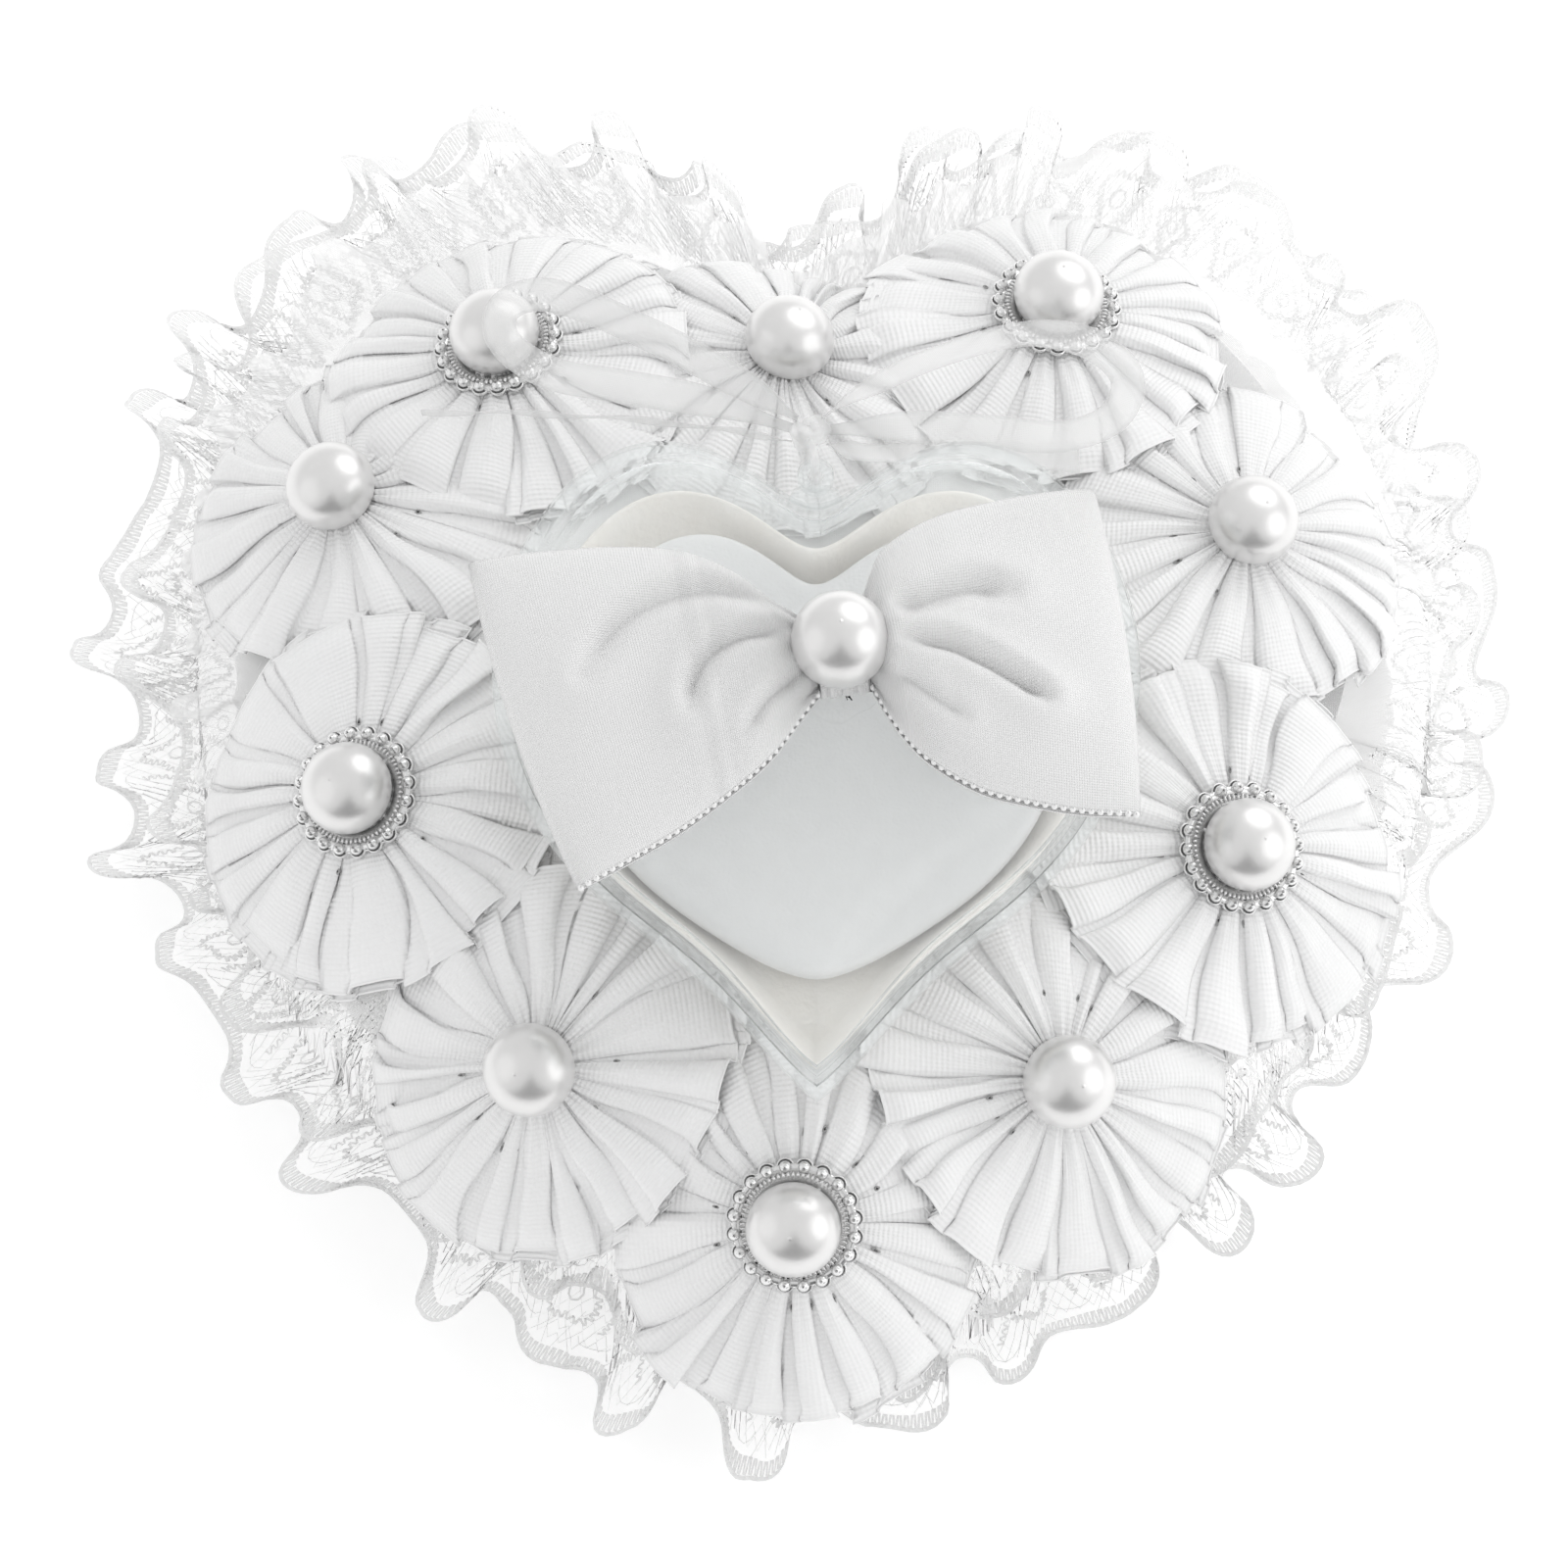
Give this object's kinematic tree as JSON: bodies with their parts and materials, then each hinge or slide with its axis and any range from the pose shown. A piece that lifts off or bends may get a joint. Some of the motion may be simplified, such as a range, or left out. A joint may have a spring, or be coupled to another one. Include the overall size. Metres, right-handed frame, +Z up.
{
  "type": "ring bearer pillow",
  "caption": "Heart-shaped satin ring bearer pillow with lace edge, ribbon rosettes, pearls and a clear heart ring box under a satin bow.",
  "frame": {"origin": "middle of the lace outline, on the surface that the pillow stands on", "axes": "+Z up out of the crown; +Y towards the cleft between the lobes, -Y towards the tip"},
  "size_m": [0.26, 0.259, 0.1257],
  "materials": {
    "cover_satin": "satin weave",
    "filling": "polyester stuffing",
    "lace": "open lace",
    "heading_net": "gathered satin and net",
    "rosette_satin": "satin ribbon",
    "pearl": "pearl lacquer",
    "pearl_collar": "pearl lacquer",
    "clear_plastic": "clear moulded",
    "adhesive": "clear glue",
    "lining": "cream plush",
    "foam": "soft foam",
    "bow_satin": "satin ribbon, picot edge",
    "sheer_ribbon": "sheer organza"
  },
  "bodies": {
    "root": {"bottom_cover": "cover_satin", "top_cover": "cover_satin", "cushion_filling": "filling", "lace_ruffle_lower": "lace", "lace_ruffle_upper": "lace", "heading_ruffle": "heading_net", "rosette_01": "rosette_satin", "rosette_02": "rosette_satin", "rosette_03": "rosette_satin", "rosette_04": "rosette_satin", "rosette_05": "rosette_satin", "rosette_06": "rosette_satin", "rosette_07": "rosette_satin", "rosette_08": "rosette_satin", "rosette_09": "rosette_satin", "rosette_10": "rosette_satin", "rosette_pearl_01": "pearl", "rosette_pearl_02": "pearl", "rosette_pearl_03": "pearl", "rosette_pearl_04": "pearl", "rosette_pearl_05": "pearl", "rosette_pearl_06": "pearl", "rosette_pearl_07": "pearl", "rosette_pearl_08": "pearl", "rosette_pearl_09": "pearl", "rosette_pearl_10": "pearl", "pearl_collar_02": "pearl_collar", "pearl_collar_04": "pearl_collar", "pearl_collar_06": "pearl_collar", "pearl_collar_08": "pearl_collar", "pearl_collar_10": "pearl_collar", "base_adhesive": "adhesive", "box_base": "clear_plastic", "box_lining": "lining", "ring_foam": "foam", "tie_strand": "sheer_ribbon", "tie_knot": "sheer_ribbon", "tie_loop_left": "sheer_ribbon", "tie_loop_right": "sheer_ribbon", "tie_tail_left": "sheer_ribbon", "tie_tail_right": "sheer_ribbon"},
    "lid": {"box_lid": "clear_plastic", "bow_adhesive": "adhesive", "bow_ribbon": "bow_satin", "bow_wrap": "bow_satin", "bow_pearl": "pearl"}
  },
  "joints": [
    {"name": "lid_hinge", "type": "hinge", "parent": "root", "child": "lid", "pos_m": [0, 0.0397, 0.082], "axis": [-1, 0, 0], "range_deg": [0, 90], "deforming": ["tie_strand"]}
  ]
}
